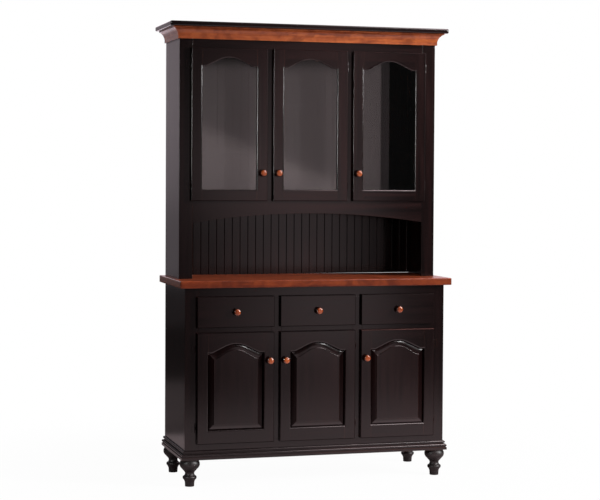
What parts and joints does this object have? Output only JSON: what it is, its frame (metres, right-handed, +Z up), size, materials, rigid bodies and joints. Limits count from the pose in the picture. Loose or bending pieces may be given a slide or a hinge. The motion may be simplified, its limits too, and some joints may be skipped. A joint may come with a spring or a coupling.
{
  "type": "step back cupboard",
  "caption": "Two-part step back cupboard: base with drawers over arched raised-panel doors, set-back hutch with arched glass doors, open niche and cove crown, on turned feet.",
  "frame": {"origin": "on the floor, at the centre of the whole cupboard's footprint", "axes": "+Z up, +X to the viewer's right when facing the doors, +Y to the back, so the doors face -Y"},
  "size_m": [1.328, 0.492, 2.083],
  "materials": {
    "black_lacquer": "satin lacquer",
    "cherry": "satin lacquer",
    "maple": "clear sealed",
    "glass": "clear polished",
    "hinge_metal": "dark bronze",
    "pin_metal": "satin"
  },
  "bodies": {
    "cabinet": {"base_sides": "black_lacquer", "base_back": "black_lacquer", "base_bottom": "black_lacquer", "foot_blocks": "black_lacquer", "base_partitions": "black_lacquer", "base_stiles": "black_lacquer", "base_rails": "black_lacquer", "base_moulding": "black_lacquer", "feet": "black_lacquer", "countertop": "cherry", "drawer_runners": "maple", "base_shelves": "black_lacquer", "shelf_cleats": "black_lacquer", "hutch_sides": "black_lacquer", "hutch_back": "black_lacquer", "hutch_deck": "black_lacquer", "hutch_stiles": "black_lacquer", "hutch_top_rail": "black_lacquer", "hutch_arch_rail": "black_lacquer", "crown_moulding": "cherry", "crown_cap": "black_lacquer", "glass_shelves": "glass", "shelf_pins": "pin_metal", "hinge_frame_leaves": "hinge_metal"},
    "drawer_left": {"drawer_left_front": "black_lacquer", "drawer_left_box": "maple", "drawer_left_knob": "cherry"},
    "drawer_middle": {"drawer_middle_front": "black_lacquer", "drawer_middle_box": "maple", "drawer_middle_knob": "cherry"},
    "drawer_right": {"drawer_right_front": "black_lacquer", "drawer_right_box": "maple", "drawer_right_knob": "cherry"},
    "lower_door_left": {"lower_door_left_frame": "black_lacquer", "lower_door_left_panel": "black_lacquer", "lower_door_left_knob": "cherry", "lower_door_left_hinges": "hinge_metal"},
    "lower_door_middle": {"lower_door_middle_frame": "black_lacquer", "lower_door_middle_panel": "black_lacquer", "lower_door_middle_knob": "cherry", "lower_door_middle_hinges": "hinge_metal"},
    "lower_door_right": {"lower_door_right_frame": "black_lacquer", "lower_door_right_panel": "black_lacquer", "lower_door_right_knob": "cherry", "lower_door_right_hinges": "hinge_metal"},
    "upper_door_left": {"upper_door_left_frame": "black_lacquer", "upper_door_left_glass": "glass", "upper_door_left_stops": "black_lacquer", "upper_door_left_knob": "cherry", "upper_door_left_hinges": "hinge_metal"},
    "upper_door_middle": {"upper_door_middle_frame": "black_lacquer", "upper_door_middle_glass": "glass", "upper_door_middle_stops": "black_lacquer", "upper_door_middle_knob": "cherry", "upper_door_middle_hinges": "hinge_metal"},
    "upper_door_right": {"upper_door_right_frame": "black_lacquer", "upper_door_right_glass": "glass", "upper_door_right_stops": "black_lacquer", "upper_door_right_knob": "cherry", "upper_door_right_hinges": "hinge_metal"}
  },
  "joints": [
    {"name": "drawer_left_slide", "type": "slide", "parent": "cabinet", "child": "drawer_left", "axis": [0, -1, 0], "range_m": [0, 0.3]},
    {"name": "drawer_middle_slide", "type": "slide", "parent": "cabinet", "child": "drawer_middle", "axis": [0, -1, 0], "range_m": [0, 0.3]},
    {"name": "drawer_right_slide", "type": "slide", "parent": "cabinet", "child": "drawer_right", "axis": [0, -1, 0], "range_m": [0, 0.3]},
    {"name": "lower_door_left_swing", "type": "hinge", "parent": "cabinet", "child": "lower_door_left", "pos_m": [-0.5647, -0.202, 0.44], "axis": [0, 0, -1], "range_deg": [0, 95]},
    {"name": "lower_door_middle_swing", "type": "hinge", "parent": "cabinet", "child": "lower_door_middle", "pos_m": [0.1817, -0.202, 0.44], "axis": [0, 0, 1], "range_deg": [0, 95]},
    {"name": "lower_door_right_swing", "type": "hinge", "parent": "cabinet", "child": "lower_door_right", "pos_m": [0.5647, -0.202, 0.44], "axis": [0, 0, 1], "range_deg": [0, 95]},
    {"name": "upper_door_left_swing", "type": "hinge", "parent": "cabinet", "child": "upper_door_left", "pos_m": [-0.5647, -0.064, 1.622], "axis": [0, 0, -1], "range_deg": [0, 95]},
    {"name": "upper_door_middle_swing", "type": "hinge", "parent": "cabinet", "child": "upper_door_middle", "pos_m": [0.1817, -0.064, 1.622], "axis": [0, 0, 1], "range_deg": [0, 95]},
    {"name": "upper_door_right_swing", "type": "hinge", "parent": "cabinet", "child": "upper_door_right", "pos_m": [0.5647, -0.064, 1.622], "axis": [0, 0, 1], "range_deg": [0, 95]}
  ]
}
